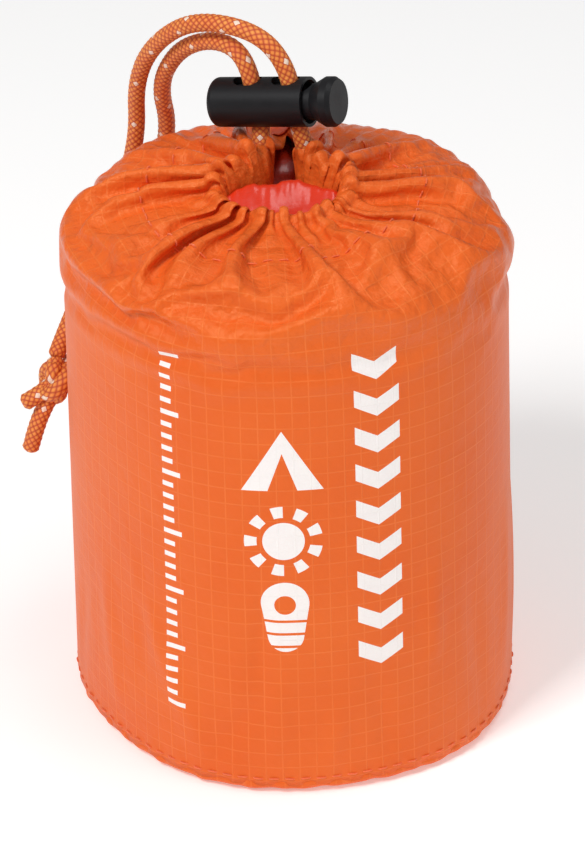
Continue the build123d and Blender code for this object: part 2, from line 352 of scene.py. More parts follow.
def film_material():
    """Glossy red-orange film, crinkled where it is folded."""
    n = Nodes("bivvy_film")
    position = n.position()
    wide = n.noise(position, 90.0, 4.0)
    fine = n.noise(position, 600.0, 4.0)
    colour = n.mix(wide, (0.60, 0.021, 0.005, 1), (0.78, 0.044, 0.009, 1))
    normal = n.bump(wide, 0.4, 0.0012)
    normal = n.bump(fine, 0.35, 0.0002, normal)
    rough = n.math("ADD", 0.20, n.math("MULTIPLY", fine, 0.16))
    return n.finish(Base_Color=colour, Roughness=rough, Normal=normal, Coat_Weight=0.15,
                    Coat_Roughness=0.12, Specular_IOR_Level=0.45)


def plastic_material():
    """Moulded black plastic with a fine spark texture."""
    n = Nodes("black_plastic")
    position = n.position()
    grain = n.noise(position, 2600.0, 2.0)
    wear = n.noise(position, 260.0, 4.0)
    colour = n.mix(wear, (0.006, 0.006, 0.007, 1), (0.013, 0.013, 0.015, 1))
    normal = n.bump(grain, 0.22, 0.00008)
    rough = n.math("ADD", 0.36, n.math("MULTIPLY", wear, 0.2))
    return n.finish(Base_Color=colour, Roughness=rough, Normal=normal, Specular_IOR_Level=0.22)


def steel_material():
    n = Nodes("spring_steel")
    position = n.position()
    streaks = n.noise(position, 900.0, 4.0)
    colour = n.mix(streaks, (0.42, 0.42, 0.44, 1), (0.62, 0.62, 0.63, 1))
    rough = n.math("ADD", 0.2, n.math("MULTIPLY", streaks, 0.2))
    return n.finish(Base_Color=colour, Metallic=1.0, Roughness=rough)


def thread_material():
    n = Nodes("thread")
    position = n.position()
    twist = n.noise(position, 3000.0, 2.0)
    colour = n.mix(twist, (0.80, 0.105, 0.020, 1), (0.95, 0.19, 0.045, 1))
    normal = n.bump(twist, 0.5, 0.0001)
    return n.finish(Base_Color=colour, Roughness=0.6, Normal=normal, Sheen_Weight=0.3)


def tape_material():
    n = Nodes("seam_tape")
    position = n.position()
    weave = n.noise(position, 1800.0, 3.0)
    colour = n.mix(weave, (0.70, 0.075, 0.015, 1), (0.80, 0.11, 0.026, 1))
    normal = n.bump(weave, 0.5, 0.0002)
    return n.finish(Base_Color=colour, Roughness=0.55, Normal=normal, Sheen_Weight=0.1)


def floor_material():
    n = Nodes("floor")
    position = n.position()
    tone = n.noise(position, 3.0, 2.0)
    colour = n.mix(tone, (0.93, 0.925, 0.92, 1), (0.95, 0.948, 0.945, 1))
    return n.finish(Base_Color=colour, Roughness=0.7, Emission_Color=(1, 1, 1, 1),
                    Emission_Strength=0.27)


# ------------------------------ camera, floor and light
CAMERA_TARGET = Vector((-0.0003, 0, 0.0510))
CAMERA_DISTANCE = 0.6
CAMERA_ELEVATION = math.radians(31.4)
CAMERA_ROLL = math.radians(-1.3)
CAMERA_LENS = 139.5


def add_camera():
    camera = bpy.data.cameras.new("camera")
    camera.sensor_width = 36.0
    camera.lens = CAMERA_LENS
    obj = link(bpy.data.objects.new("camera", camera))
    back = Vector((0, -math.cos(CAMERA_ELEVATION), math.sin(CAMERA_ELEVATION)))
    right = Vector((1, 0, 0))
    top = back.cross(right)
    turned_right = right * math.cos(CAMERA_ROLL) + top * math.sin(CAMERA_ROLL)
    turned_top = top * math.cos(CAMERA_ROLL) - right * math.sin(CAMERA_ROLL)
    matrix = Matrix((turned_right, turned_top, back)).transposed().to_4x4()
    matrix.translation = CAMERA_TARGET + back * CAMERA_DISTANCE
    obj.matrix_world = matrix
    bpy.context.scene.camera = obj


def add_area_light(name, place, size, power):
    light = bpy.data.lights.new(name, "AREA")
    light.size = size
    light.energy = power
    obj = link(bpy.data.objects.new(name, light))
    obj.location = place
    obj.rotation_euler = (Vector((0, 0, 0.06)) - Vector(place)).to_track_quat("-Z", "Y").to_euler()


def add_stage():
    half = 2.5
    floor = new_mesh("floor", [(-half, -half, 0), (half, -half, 0), (half, half, 0), (-half, half, 0)],
                     [(0, 1, 2, 3)], smooth=False)
    paint(floor, floor_material())
    world = bpy.data.worlds.new("studio")
    world.use_nodes = True
    background = world.node_tree.nodes["Background"]
    background.inputs["Color"].default_value = (1.0, 0.995, 0.99, 1)
    background.inputs["Strength"].default_value = 0.27
    bpy.context.scene.world = world
    add_area_light("key_light", (-0.40, -0.40, 0.75), 0.22, 4.6)
    add_area_light("fill_light", (0.7, -0.50, 0.35), 0.5, 1.15)
    add_area_light("top_light", (0.20, 0.00, 1.0), 0.4, 2.0)


# ------------------------------ the sack's shape
def body_radius(angle, height):
    """Outer radius of the filled sack: a tapered round with a few soft flats, in millimetres."""
    flats = 0.55 * np.cos(5 * (angle - 0.55)) + 0.35 * np.cos(3 * (angle + 0.9))
    return BASE_RADIUS - TAPER * (height - SEAM_HEIGHT) + flats


def column_angle(column):
    """Columns of cloth start at the back seam and run round the left side to the front."""
    return math.pi / 2 + TURN * column / COLUMNS


# Where the drawcord runs in the gathered hem, from its left end at the back to its right end,
# and the height of the mouth there
CORD_LINE = [
    (-6.2, 12.5), (-6.2, 9.0), (-6.8, 5.6), (-9.6, 2.8), (-13.0, -0.6), (-13.4, -6.0),
    (-10.2, -10.6), (-5.2, -12.6), (0.0, -13.2), (5.2, -12.4), (9.6, -9.4), (11.6, -4.4),
    (10.4, 0.4), (6.8, 3.8), (5.2, 7.2), (4.8, 11.0)]
MOUTH_HEIGHT = 101.2
MOUTH_SLOPE = 0.08


def rounded_line(points, steps=20):
    """A smooth line through these points (Catmull-Rom)."""
    p = np.array(points, float)
    p = np.vstack([2 * p[0] - p[1], p, 2 * p[-1] - p[-2]])
    t = np.linspace(0, 1, steps, endpoint=False)[:, None]
    out = [0.5 * (2 * b + (c - a) * t + (2 * a - 5 * b + 4 * c - d) * t**2
                  + (3 * b - a - 3 * c + d) * t**3)
           for a, b, c, d in zip(p, p[1:], p[2:], p[3:])]
    return np.vstack(out + [p[-2:-1]])


def line_lengths(points):
    return np.concatenate([[0], np.cumsum(np.linalg.norm(np.diff(points, axis=0), axis=1))])


def along_line(points, lengths, s):
    """Points at distances s along a line."""
    return np.stack([np.interp(s, lengths, points[:, k]) for k in range(points.shape[1])], axis=-1)


def line_run(points, lengths, s):
    """The line's directions at distances s along it."""
    ahead = along_line(points, lengths, np.minimum(s + 1, lengths[-1]))
    behind = along_line(points, lengths, np.maximum(s - 1, 0))
    return (ahead - behind) / np.linalg.norm(ahead - behind, axis=-1, keepdims=True)


# ------------------------------ gathering the mouth by simulation
# The simulation runs at ten times the real size. Its cloth starts at the height SIM_START, and is
# held more and more loosely over its first SIM_HELD millimetres
SIM_SCALE = 0.01
SIM_START = 68.0
SIM_ROWS = 42
SIM_HELD = 22.0
SIM_FRAMES = 50
CINCH_FRAME = 36
PINS = 28
SEED = 5

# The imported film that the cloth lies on: radius and height
BUNDLE = [(0, 98.6), (12, 98.5), (20, 98.2), (27, 97.6), (32, 96.6), (35.5, 95.0),
          (37.8, 92.4), (38.8, 88.6), (39.2, 82), (39.2, 60)]
# Where its rim is fuller: angle, width of the swelling and how much higher
SWELLINGS = [(2.45, 0.45, 2.6), (0.75, 0.35, 1.2)]

# How the cloth behaves, and how it touches the film, the lock and itself
CLOTH_SETTINGS = {
    "quality": 5, "mass": 0.2, "tension_stiffness": 20, "compression_stiffness": 20,
    "shear_stiffness": 5, "bending_model": "ANGULAR", "bending_stiffness": 12,
    "tension_damping": 8, "compression_damping": 8, "shear_damping": 5, "bending_damping": 0.6,
    "air_damping": 2.0, "vertex_group_mass": "pin", "pin_stiffness": 1.0}
TOUCH_SETTINGS = {
    "use_collision": True, "distance_min": 0.004, "collision_quality": 3,
    "use_self_collision": True, "self_distance_min": 0.006, "self_friction": 5}


def bundle_point(angle, r, z):
    """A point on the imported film, in millimetres."""
    rim = math.exp(-((r - 34) / 9) ** 2) * (1 if z > 88 else 0)
    lift = sum(height * math.exp(-(math.remainder(angle - place, TURN) / width) ** 2) * rim
               for place, width, height in SWELLINGS)
    s = r / BASE_RADIUS * body_radius(angle, z)
    return Vector((s * math.cos(angle), s * math.sin(angle), z + lift))


def add_bundle_collider():
    around = 96
    verts = [bundle_point(TURN * i / around, r, z) * SIM_SCALE
             for r, z in BUNDLE for i in range(around)]
    faces = []
    for ring in range(len(BUNDLE) - 1):
        for i in range(around):
            a = ring * around + i
            b = ring * around + (i + 1) % around
            faces.append((a + around, b + around, b, a))
    obj = new_mesh("bundle_collider", verts, faces)
    weld(obj, 1e-5)
    obj.modifiers.new("collision", "COLLISION")
    obj.collision.thickness_outer = 0.004
    obj.collision.cloth_friction = 8
    return obj


def add_lock_collider():
    bpy.ops.mesh.primitive_cylinder_add(
        radius=4.7 * SIM_SCALE, depth=25 * SIM_SCALE, vertices=24,
        location=(LOCK_END + ALONG * LOCK_MIDDLE) * SIM_SCALE,
        rotation=ALONG.to_track_quat("Z", "Y").to_euler())
    obj = bpy.context.object
    obj.modifiers.new("collision", "COLLISION")
    obj.collision.thickness_outer = 0.003
    return obj


def weld(obj, distance):
    """Joins points that are nearer than a distance in metres."""
    mesh = bmesh.new()
    mesh.from_mesh(obj.data)
    bmesh.ops.remove_doubles(mesh, verts=mesh.verts, dist=distance)
    mesh.to_mesh(obj.data)
    mesh.free()
    return obj


def simulate_gather(seed):
    """The upper part of the sack starts as an open tube. Its top edge is held at uneven places,
    and these are pulled in along the drawcord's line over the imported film, so that it gathers.
    Gives the cloth's points in millimetres, one row for each height."""
    rng = random.Random(seed)
    slit = round(HEM_DEPTH / ((CLOTH_TOP - SIM_START) / SIM_ROWS))
    verts = []
    index = np.zeros((SIM_ROWS + 1, COLUMNS + 1), int)
    for row in range(SIM_ROWS + 1):
        z = SIM_START + (CLOTH_TOP - SIM_START) * row / SIM_ROWS
        for column in range(COLUMNS + 1):
            if column == COLUMNS and row < SIM_ROWS - slit:
                index[row, column] = index[row, 0]
                continue
            angle = column_angle(column)
            if row >= SIM_ROWS - slit:
                angle += {0: 0.004, COLUMNS: -0.004}.get(column, 0)
            r = body_radius(angle, min(z, 92)) + CLOTH_CLEARANCE
            index[row, column] = len(verts)
            verts.append((r * math.cos(angle) * SIM_SCALE, r * math.sin(angle) * SIM_SCALE,
                          z * SIM_SCALE))
    faces = [(index[j, i], index[j, i + 1], index[j + 1, i + 1], index[j + 1, i])
             for j in range(SIM_ROWS) for i in range(COLUMNS)]
    cloth = new_mesh("gathering_cloth", verts, faces)

    line = rounded_line(CORD_LINE)
    lengths = line_lengths(line)
    cloth_steps = np.array([1 + 0.45 * rng.uniform(-1, 1) for _ in range(PINS - 1)])
    cloth_steps /= cloth_steps.sum()
    cord_steps = np.array([1 + 0.25 * rng.uniform(-1, 1) for _ in range(PINS - 1)])
    cord_steps = 0.5 * cord_steps / cord_steps.sum() + 0.5 * cloth_steps
    on_cloth = np.concatenate([[0], np.cumsum(cloth_steps)])
    on_cord = np.concatenate([[0], np.cumsum(cord_steps)]) * lengths[-1]

    pin = cloth.vertex_groups.new(name="pin")
    for row in range(SIM_ROWS):
        free = (CLOTH_TOP - SIM_START) * row / SIM_ROWS / SIM_HELD
        if free < 1:
            pin.add([int(i) for i in index[row, :COLUMNS]], (1 - free) ** 1.3, "REPLACE")
    cloth.shape_key_add(name="Basis")
    cinch = cloth.shape_key_add(name="cinch")
    for place, s in zip(on_cloth, on_cord):
        vertex = int(index[SIM_ROWS, round(place * COLUMNS)])
        pin.add([vertex], 1.0, "REPLACE")
        x, y = along_line(line, lengths, s)
        z = MOUTH_HEIGHT + MOUTH_SLOPE * y + rng.uniform(-0.5, 0.5)
        cinch.data[vertex].co = Vector((x, y, z)) * SIM_SCALE
    cinch.value = 0
    cinch.keyframe_insert("value", frame=1)
    cinch.value = 1
    cinch.keyframe_insert("value", frame=CINCH_FRAME)

    modifier = cloth.modifiers.new("Cloth", "CLOTH")
    for name, value in CLOTH_SETTINGS.items():
        setattr(modifier.settings, name, value)
    for name, value in TOUCH_SETTINGS.items():
        setattr(modifier.collision_settings, name, value)

    scene = bpy.context.scene
    colliders = [add_bundle_collider(), add_lock_collider()]
    scene.gravity = (0, 0, -9)
    scene.frame_start = 1
    scene.frame_end = SIM_FRAMES
    modifier.point_cache.frame_start = 1
    modifier.point_cache.frame_end = SIM_FRAMES
    for number in range(1, SIM_FRAMES + 1):
        scene.frame_set(number)
    shaped = cloth.evaluated_get(bpy.context.evaluated_depsgraph_get()).to_mesh()
    points = np.empty(len(shaped.vertices) * 3)
    shaped.vertices.foreach_get("co", points)
    points = points.reshape(-1, 3) / SIM_SCALE
    for obj in (cloth, *colliders):
        bpy.data.objects.remove(obj)
    scene.frame_set(1)
    return points[index]


# ------------------------------ the whole sheet of cloth
# The rows below the simulated ones, and the turned hem: its radius, its rows, how far in its lining
# and its cord lie, and how far down and how evenly the lining hangs
LOWER_ROWS = 28
HEM_RADIUS = 1.5
HEM_TURN_ROWS = 7
LINING_INSET = 3.5
HEM_CORD_INSET = 0.9
HEM_CORD_DROP = 2.4
HEM_DROP = [(1.2, 0.3), (3.0, 0.6), (5.5, 0.85), (8.5, 1.0)]

# The pleats at the mouth's front are lowered by this share of what they stand above this height
FRONT_LOW = 99.3
FRONT_SHARE = 0.55

# Soft creases low on the body: start and end (round the cloth, up the cloth), width and depth
CREASES = [
    ((120, 44), (119, 19), 1.3, -0.60), ((120, 22), (109, 5), 1.5, -0.55),
    ((123, 24), (122, 5), 1.4, 0.40), ((92, 44), (110, 4), 2.2, 0.55),
    ((96, 46), (95, 14), 1.8, -0.40), ((84, 40), (88, 6), 2.2, 0.45),
    ((151, 20), (152, 46), 1.6, 0.45), ((143, 4), (139, 26), 1.8, -0.40),
    ((131, 3), (134, 20), 1.6, 0.35), ((164, 3), (160, 40), 2.2, -0.45),
    ((172, 6), (176, 46), 2.4, 0.50), ((70, 3), (76, 32), 2.2, -0.40),
    ((58, 6), (52, 46), 2.6, 0.50), ((188, 4), (194, 44), 2.6, 0.45),
    ((206, 3), (199, 34), 2.2, -0.42), ((36, 4), (42, 40), 2.4, 0.45),
    ((20, 3), (15, 32), 2.2, -0.42), ((216, 5), (222, 46), 2.6, 0.45),
    ((234, 3), (229, 34), 2.4, -0.40), ((246, 6), (241, 40), 2.4, 0.42)]
CREASE_STRENGTH = 1.5


def crease_lift(across, up):
    """How far the soft creases push the cloth in or out."""
    lift = np.zeros(np.broadcast(across, up).shape)
    for start, end, width, depth in CREASES:
        run = np.subtract(end, start)
        x = across - start[0]
        x = (x + CIRCUMFERENCE / 2) % CIRCUMFERENCE - CIRCUMFERENCE / 2
        t = (x * run[0] + (up - start[1]) * run[1]) / (run @ run)
        side = (x * run[1] - (up - start[1]) * run[0]) / np.hypot(*run)
        fade = np.clip(t, 0, 1) * np.clip(1 - t, 0, 1) * 4
        lift += CREASE_STRENGTH * depth * fade * np.exp(-(side / width) ** 2)
    return lift


def lower_front(points):
    """The pleats at the mouth's front lie lower than the rest, so that the film shows behind them."""
    x, y, z = points.T
    near = np.clip((27 - np.hypot(x, y)) / 9, 0, 1) * np.clip((1 - y) / 6, 0, 1)
    spare = np.maximum(z - FRONT_LOW, 0) * near * FRONT_SHARE
    return points - np.column_stack([np.zeros_like(x), np.zeros_like(x), spare])


class Cloth:
    """The sack's cloth: rows of points up the cloth, from the base seam to the turned hem."""

    def __init__(self, gathered):
        across = np.arange(COLUMNS + 1) / COLUMNS * CIRCUMFERENCE
        angle = column_angle(np.arange(COLUMNS + 1))
        rows = []
        heights = []
        for row in range(LOWER_ROWS):
            z = SEAM_HEIGHT + (SIM_START - SEAM_HEIGHT) * (row / LOWER_ROWS)
            near_seam = math.exp(-(z - SEAM_HEIGHT) / 2.5)
            pucker = 0.22 * np.sin(46 * angle) + 0.15 * np.sin(71 * angle + 1.3)
            ease = min(1.0, (SIM_START - z) / 12)
            r = body_radius(angle, z) + CLOTH_CLEARANCE + crease_lift(across, z) * ease
            r = r + (pucker - 0.15) * near_seam
            rows.append(np.stack([r * np.cos(angle), r * np.sin(angle), np.full_like(angle, z)], -1))
            heights.append(z)
        for z, loose in zip(np.linspace(SIM_START, CLOTH_TOP, len(gathered)), gathered):
            free = min(1.0, (z - SIM_START) / SIM_HELD)
            r = body_radius(angle, z) + CLOTH_CLEARANCE
            packed = np.stack([r * np.cos(angle), r * np.sin(angle), np.full_like(angle, z)], -1)
            rows.append(lower_front(packed + (loose - packed) * free * free * (3 - 2 * free)))
            heights.append(z)

        line = rounded_line(CORD_LINE)
        lengths = line_lengths(line)
        s = np.linspace(0, lengths[-1], COLUMNS + 1)
        run = line_run(line, lengths, s)
        inward = np.stack([-run[:, 1], run[:, 0], np.zeros(len(run))], -1)
        rim = rows[-1]
        for step in range(1, HEM_TURN_ROWS + 1):
            a = math.pi * step / HEM_TURN_ROWS
            rows.append(rim + inward * HEM_RADIUS * (1 - math.cos(a))
                        + [0, 0, HEM_RADIUS * math.sin(a)])
            heights.append(CLOTH_TOP + HEM_RADIUS * a)
        inner = rows[-1]
        place = along_line(line, lengths, s)
        even = np.column_stack([place, MOUTH_HEIGHT + MOUTH_SLOPE * place[:, 1]])
        even = even + inward * LINING_INSET
        for drop, evenness in HEM_DROP:
            rows.append(inner + (even - inner) * evenness - [0, 0, drop])
            heights.append(CLOTH_TOP + HEM_RADIUS * math.pi + drop)
        self.points = np.array(rows)
        self.heights = np.array(heights)
        self.across = across

    def at(self, across, up):
        """Points and outward normals of the smooth cloth, at millimetres round it and up it."""
        u = np.asarray(across, float) / CIRCUMFERENCE * COLUMNS
        v = np.interp(up, self.heights, np.arange(len(self.heights)))
        place = self._smooth(u, v)
        round_it = self._smooth(u + 0.5, v) - self._smooth(u - 0.5, v)
        up_it = self._smooth(u, v + 0.5) - self._smooth(u, v - 0.5)
        normal = np.cross(round_it, up_it)
        return place, normal / np.linalg.norm(normal, axis=-1, keepdims=True)

    def _smooth(self, u, v):
        """The smooth surface that subdivision makes of the grid."""
        total = 0
        for i, weight_u in self._weights(u):
            for j, weight_v in self._weights(v):
                rows = np.clip(j, 0, len(self.points) - 1)
                total = total + (weight_u * weight_v)[..., None] * self.points[rows, i % COLUMNS]
        return total

    @staticmethod
    def _weights(x):
        start = np.floor(x).astype(int)
        t = x - start
        weights = ((1 - t) ** 3, 3 * t**3 - 6 * t**2 + 4, -3 * t**3 + 3 * t**2 + 3 * t + 1, t**3)
        return [(start + k - 1, w / 6) for k, w in enumerate(weights)]


def uv_mesh(name, verts, faces, uvs):
    """A mesh of points in metres, each with a pair in its UV map. It is smooth but for its end caps."""
    mesh = bpy.data.meshes.new(name)
    mesh.from_pydata(verts, [], faces)
    mesh.update()
    mesh.polygons.foreach_set("use_smooth", [len(p.vertices) == 4 for p in mesh.polygons])
    layer = mesh.uv_layers.new(name=OWN_UV)
    corners = np.empty(len(mesh.loops), int)
    mesh.loops.foreach_get("vertex_index", corners)
    layer.data.foreach_set("uv", uvs[corners].ravel())
    return link(bpy.data.objects.new(name, mesh))


def cloth_grid(name, points, uvs, closed=False):
    """A mesh of rows of points, with its UV map in the cloth's own millimetres."""
    points = np.asarray(points)
    uvs = np.broadcast_to(uvs, points.shape[:2] + (2,))
    rows, columns = points.shape[:2]
    faces = [(j * columns + i, j * columns + i + 1, (j + 1) * columns + i + 1, (j + 1) * columns + i)
             for j in range(rows - 1) for i in range(columns - 1)]
    obj = uv_mesh(name, (points.reshape(-1, 3) * MM).tolist(), faces, uvs.reshape(-1, 2))
    return weld(obj, 1e-7) if closed else obj


def smoothed(obj):
    smooth = obj.modifiers.new("smooth", "SUBSURF")
    smooth.levels = 1
    smooth.render_levels = 1
    return obj


def thicken(obj, thickness):
    """Gives a sheet its thickness, on the inside."""
    shell = obj.modifiers.new("thickness", "SOLIDIFY")
    shell.thickness = thickness * MM
    shell.offset = -1.0


def make_sack_cloth(cloth, material):
    uvs = np.stack(np.meshgrid(cloth.across, cloth.heights), -1)
    obj = cloth_grid("sack_cloth", cloth.points, uvs)
    slit_row = int(np.searchsorted(cloth.heights, CLOTH_TOP - HEM_DEPTH))
    columns = COLUMNS + 1
    mesh = bmesh.new()
    mesh.from_mesh(obj.data)
    mesh.verts.ensure_lookup_table()
    pairs = {mesh.verts[j * columns + COLUMNS]: mesh.verts[j * columns] for j in range(slit_row)}
    bmesh.ops.weld_verts(mesh, targetmap=pairs)
    mesh.to_mesh(obj.data)
    mesh.free()
    thicken(smoothed(obj), CLOTH_THICKNESS)
    return settle(obj, material, "ripstop_nylon", "sack_wall", "drawcord_channel")


# ------------------------------ thread
def stitch_mesh(name, lines, thread=0.34, sides=6):
    """One mesh of a thread or wire along each line of points, which are in millimetres."""
    verts = []
    faces = []
    for line in lines:
        line = np.asarray(line, float)
        run = np.gradient(line, axis=0)
        run /= np.linalg.norm(run, axis=1)[:, None]
        helper = np.array([0.31, 0.22, 0.92])
        side = np.cross(run, helper)
        side /= np.linalg.norm(side, axis=1)[:, None]
        top = np.cross(side, run)
        first = len(verts)
        for k, (p, a, b) in enumerate(zip(line, side, top)):
            r = thread / 2 * (0.45 if k in (0, len(line) - 1) else 1.0)
            for n in range(sides):
                angle = TURN * n / sides
                verts.append((p + r * math.cos(angle) * a + r * math.sin(angle) * b) * MM)
        for k in range(len(line) - 1):
            for n in range(sides):
                m = (n + 1) % sides
                faces.append((first + k * sides + n, first + k * sides + m, first + (k + 1) * sides + m,
                              first + (k + 1) * sides + n))
        faces.append(tuple(first + n for n in reversed(range(sides))))
        last = first + (len(line) - 1) * sides
        faces.append(tuple(last + n for n in range(sides)))
    return new_mesh(name, verts, faces)


def stitches_on_cloth(cloth, start, end, length=2.1, gap=0.8, lift=0.16):
    """Lines of stitches from start to end, both given round the cloth and up it."""
    start = np.array(start, float)
    end = np.array(end, float)
    distance = np.linalg.norm(end - start)
    count = int(distance / (length + gap))
    lines = []
    for k in range(count):
        t = np.linspace(k * (length + gap), k * (length + gap) + length, 6) / distance
        spots = start + (end - start) * t[:, None]
        place, normal = cloth.at(spots[:, 0], spots[:, 1])
        rise = np.array([-0.12, lift, lift + 0.03, lift + 0.03, lift, -0.12])
        lines.append(place + normal * rise[:, None])
    return lines


# ------------------------------ seams and base
def make_channel_stitches(cloth, material):
    """The row that holds the turned hem, all round the sack except at the cord's way out."""
    up = CLOTH_TOP - HEM_DEPTH
    lines = stitches_on_cloth(cloth, (3.0, up), (CIRCUMFERENCE - 3.0, up), lift=0.1)
    stitches = stitch_mesh("channel_stitches", lines, thread=0.28)
    return settle(stitches, material, "thread", "channel_stitching")


def make_side_seam(cloth, tape, thread):
    """A felled seam up the back of the sack, with two rows of stitches."""
    half = 3.0
    across = np.array([-half - 0.15, -half, -half + 0.25, -1.5, 0, 1.5, half - 0.25, half, half + 0.15])
    rise = np.array([-0.05, 0.18, 0.36, 0.40, 0.34, 0.40, 0.36, 0.18, -0.05])
    up = np.arange(SEAM_HEIGHT + 0.6, CLOTH_TOP - HEM_DEPTH - 1.0, 0.8)
    grid_u, grid_v = np.meshgrid(across, up)
    place, normal = cloth.at(grid_u, grid_v)
    place = place + normal * rise[None, :, None]
    strip = cloth_grid("side_seam_tape", place, np.stack([grid_u, grid_v], -1))
    thicken(strip, 0.12)
    settle(strip, tape, "seam_tape", "side_seam")
    lines = []
    for side in (-2.1, 2.1):
        lines += stitches_on_cloth(cloth, (side, SEAM_HEIGHT + 2),
                                   (side, CLOTH_TOP - HEM_DEPTH - 2), lift=0.52)
    settle(stitch_mesh("side_seam_stitches", lines), thread, "thread", "side_stitching")
    return strip


def make_base(cloth, cloth_material, tape, thread):
    """The round base panel, drawn up to the seam, the bound seam inside it, and its stitches."""
    around = 240
    angle = np.linspace(0, TURN, around + 1)
    pucker = 0.16 * np.sin(52 * angle) + 0.12 * np.sin(83 * angle + 0.7)
    radii = [0.0, 8, 16, 24, 31, 35.5, 37.8, 39.2, 40.0, 40.35, 40.25, 39.9]
    lifts = [0.25, 0.25, 0.25, 0.22, 0.20, 0.20, 0.30, 0.62, 1.15, 1.75, 2.4, 3.2]
    rows = []
    for r, z in zip(radii, lifts):
        near_rim = min(max(0.0, (r - 36) / 4.5), (3.4 - z) / 1.4)
        flats = (body_radius(angle, SEAM_HEIGHT) - BASE_RADIUS) * r / BASE_RADIUS
        edge = r + flats + pucker * near_rim
        height = z + 0.18 * near_rim * np.sin(29 * angle + 0.4)
        rows.append(np.stack([edge * np.cos(angle), edge * np.sin(angle), height], -1))
    points = np.array(rows)
    panel = cloth_grid("base_panel", points[::-1], points[::-1, :, :2], closed=True)
    thicken(smoothed(panel), CLOTH_THICKNESS)
    settle(panel, cloth_material, "ripstop_nylon", "sack_base")

    profile = [(39.3, 2.0), (39.35, 3.4), (39.15, 5.2), (38.95, 5.2), (38.9, 3.4),
               (38.95, 2.0), (39.3, 2.0)]
    rings = [np.stack([(r + 0.5 * pucker) * np.cos(angle), (r + 0.5 * pucker) * np.sin(angle),
                       np.full_like(angle, z)], -1) for r, z in profile]
    uvs = np.stack(np.meshgrid(angle * BASE_RADIUS, np.arange(len(profile))), -1)
    binding = cloth_grid("base_seam_binding", np.array(rings), uvs, closed=True)
    settle(binding, tape, "seam_tape", "base_seam")

    lines = stitches_on_cloth(cloth, (0, SEAM_HEIGHT + 1.5), (CIRCUMFERENCE - 0.5, SEAM_HEIGHT + 1.5),
                              length=1.9, gap=0.9, lift=0.1)
    settle(stitch_mesh("base_seam_stitches", lines, thread=0.3), thread, "thread", "base_stitching")
    return panel


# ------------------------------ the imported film
# The radii of the roll's top, and the radii and heights of its side and underside
ROLL_TOP_RADII = [0.3, 3, 6, 9, 12, 14, 16, 19, 23, 27, 31, 34.5, 36.4]
ROLL_SIDE = [(37.4, 88.0), (38.0, 84.0), (38.3, 76), (38.3, 62), (38.3, 48), (38.3, 34),
             (38.3, 20), (38.0, 8), (36.8, 3.2), (34.0, 1.6), (18.0, 1.2), (0.3, 1.2)]
# The fold's section from front to back, and the height of its crest
FOLD_SECTION = [(-9.0, 92.0), (-8.7, 94.6), (-8.0, 96.8), (-6.6, 98.6), (-4.8, 99.9),
                (-3.1, 101.0), (-1.9, 101.7), (-1.1, 101.9), (-0.6, 101.6), (-0.2, 100.4),
                (0.1, 98.2), (0.4, 94.8), (0.8, 90.0)]
FOLD_CREST = 101.9


def make_film_roll(material):
    """The bivvy, rolled and folded. Its top dips behind the fold that crosses the mouth."""
    angle = np.linspace(0, TURN, 221)
    radii, heights = zip(*BUNDLE)
    rows = []
    for r in ROLL_TOP_RADII:
        x = r * np.cos(angle)
        y = r * np.sin(angle)
        z = np.interp(r, radii, heights) - 1.3
        z = z + 0.5 * np.sin(0.9 * x + 0.4 * y) * np.sin(0.55 * y - 0.3 * x + 1) * (1 - r / BASE_RADIUS)
        z -= 16 * np.exp(-((x + 1) / 7) ** 2 - ((y - 7) / 6.5) ** 2)
        s = body_radius(angle, heights[0]) / BASE_RADIUS
        rows.append(np.stack([x * s, y * s, z], -1))
    for r, z in ROLL_SIDE:
        wrinkle = 0.12 * np.sin(7 * angle + z * 0.12) + 0.10 * np.sin(15 * angle - z * 0.3)
        s = r / BASE_RADIUS * body_radius(angle, z) - 0.2 + wrinkle
        rows.append(np.stack([s * np.cos(angle), s * np.sin(angle), np.full_like(angle, z)], -1))
    uvs = np.stack(np.meshgrid(angle, np.arange(len(rows))), -1)
    roll = cloth_grid("bivvy_film_roll", np.array(rows), uvs, closed=True)
    return settle(smoothed(roll), material, "bivvy_film", "bivvy_roll")


def make_film_fold(material):
    """The folded edge of film in the mouth: a ridge along X with small crimps at its crest."""
    length = np.linspace(-13, 12, 150)
    rows = []
    for k, (y, z) in enumerate(FOLD_SECTION):
        crest = math.exp(-((z - FOLD_CREST) / 1.8) ** 2)
        bend = -0.018 * (length + 1) ** 2 + 0.5 * np.sin(length * 0.62 + 0.4)
        crimp = 0.06 * np.sin(length * 2.3 + k * 0.5) + 0.04 * np.sin(length * 4.1 - k * 0.8)
        lift = -0.016 * (length + 1) ** 2 + crimp * (0.4 + crest)
        lift = lift + 0.22 * np.sin(length * 0.9 + 1.1) * crest
        rows.append(np.stack([length, y + bend + crimp * 0.5, z + lift], -1))
    uvs = np.stack(np.meshgrid(length, np.arange(len(FOLD_SECTION))), -1)
    fold = cloth_grid("bivvy_film_fold", np.array(rows), uvs)
    thicken(smoothed(fold), 0.1)
    return settle(fold, material, "bivvy_film")


# ------------------------------ the drawcord
BRAID_AROUND = 48
BRAID_STEP = 0.21
BRAID_RELIEF = 0.13


def read_spline(name, points):
    """The smooth line of a NURBS spline with these control points, as a list of points."""
    curve = bpy.data.curves.new(name + "_line", "CURVE")
    curve.dimensions = "3D"
    spline = curve.splines.new("NURBS")
    spline.points.add(len(points) - 1)
    for knot, point in zip(spline.points, points):
        knot.co = (*point, 1.0)
    spline.order_u = 3
    spline.use_endpoint_u = True
    curve.resolution_u = 24
    obj = link(bpy.data.objects.new(name + "_line", curve))
    mesh = bpy.data.meshes.new_from_object(obj)
    line = np.array([v.co for v in mesh.vertices], float)
    bpy.data.objects.remove(obj)
    return line


